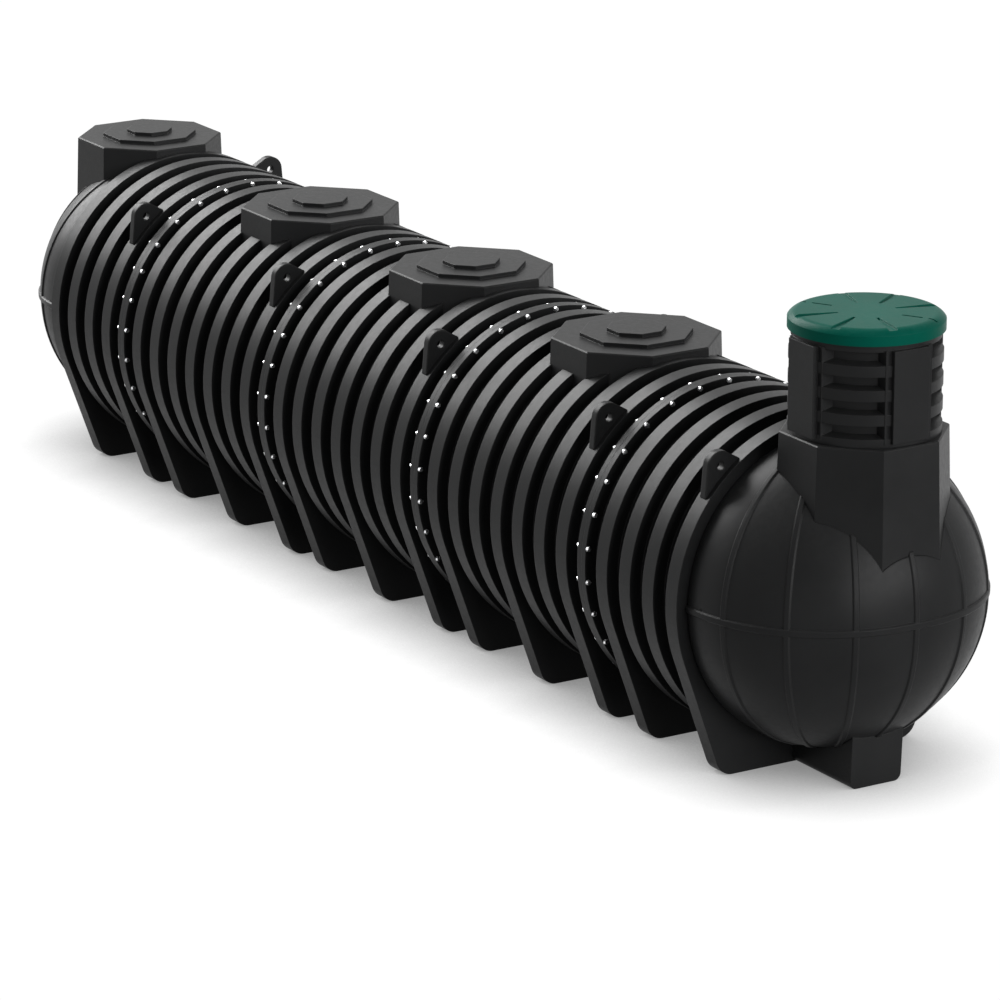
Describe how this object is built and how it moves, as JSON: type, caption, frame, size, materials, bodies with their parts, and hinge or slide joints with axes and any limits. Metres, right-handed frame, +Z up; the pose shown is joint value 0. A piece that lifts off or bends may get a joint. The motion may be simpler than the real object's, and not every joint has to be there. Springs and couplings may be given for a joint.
{
  "type": "horizontal sectional storage tank",
  "caption": "Long horizontal storage tank in black ribbed plastic with domed ends, saddle feet, octagonal hatches and a green-lidded riser.",
  "frame": {"origin": "middle of the tank's footprint, on the ground under its feet", "axes": "+X along the barrel towards the riser, +Y across the tank, +Z up"},
  "size_m": [8.4196, 1.74, 2.43],
  "materials": {
    "black_plastic": "satin moulded plastic",
    "green_plastic": "satin moulded plastic"
  },
  "bodies": {
    "root": {"far_dome": "black_plastic", "far_keel": "black_plastic", "far_middle_hatch": "black_plastic", "far_turret_hatch": "black_plastic", "lid": "green_plastic", "middle_hatch": "black_plastic", "near_dome": "black_plastic", "near_keel": "black_plastic", "near_middle_hatch": "black_plastic", "near_turret": "black_plastic", "riser": "black_plastic", "saddle_foot_01": "black_plastic", "saddle_foot_02": "black_plastic", "saddle_foot_03": "black_plastic", "saddle_foot_04": "black_plastic", "saddle_foot_05": "black_plastic", "saddle_foot_06": "black_plastic", "saddle_foot_07": "black_plastic", "saddle_foot_08": "black_plastic", "saddle_foot_09": "black_plastic", "saddle_foot_10": "black_plastic", "saddle_foot_11": "black_plastic", "saddle_foot_12": "black_plastic", "saddle_foot_13": "black_plastic", "section_1_lifting_lugs": "black_plastic", "section_1_lower_shell": "black_plastic", "section_1_upper_shell": "black_plastic", "section_2_lifting_lugs": "black_plastic", "section_2_lower_shell": "black_plastic", "section_2_upper_shell": "black_plastic", "section_3_lifting_lugs": "black_plastic", "section_3_lower_shell": "black_plastic", "section_3_upper_shell": "black_plastic", "section_4_lifting_lugs": "black_plastic", "section_4_lower_shell": "black_plastic", "section_4_upper_shell": "black_plastic", "section_5_lifting_lugs": "black_plastic", "section_5_lower_shell": "black_plastic", "section_5_upper_shell": "black_plastic"}
  },
  "joints": []
}
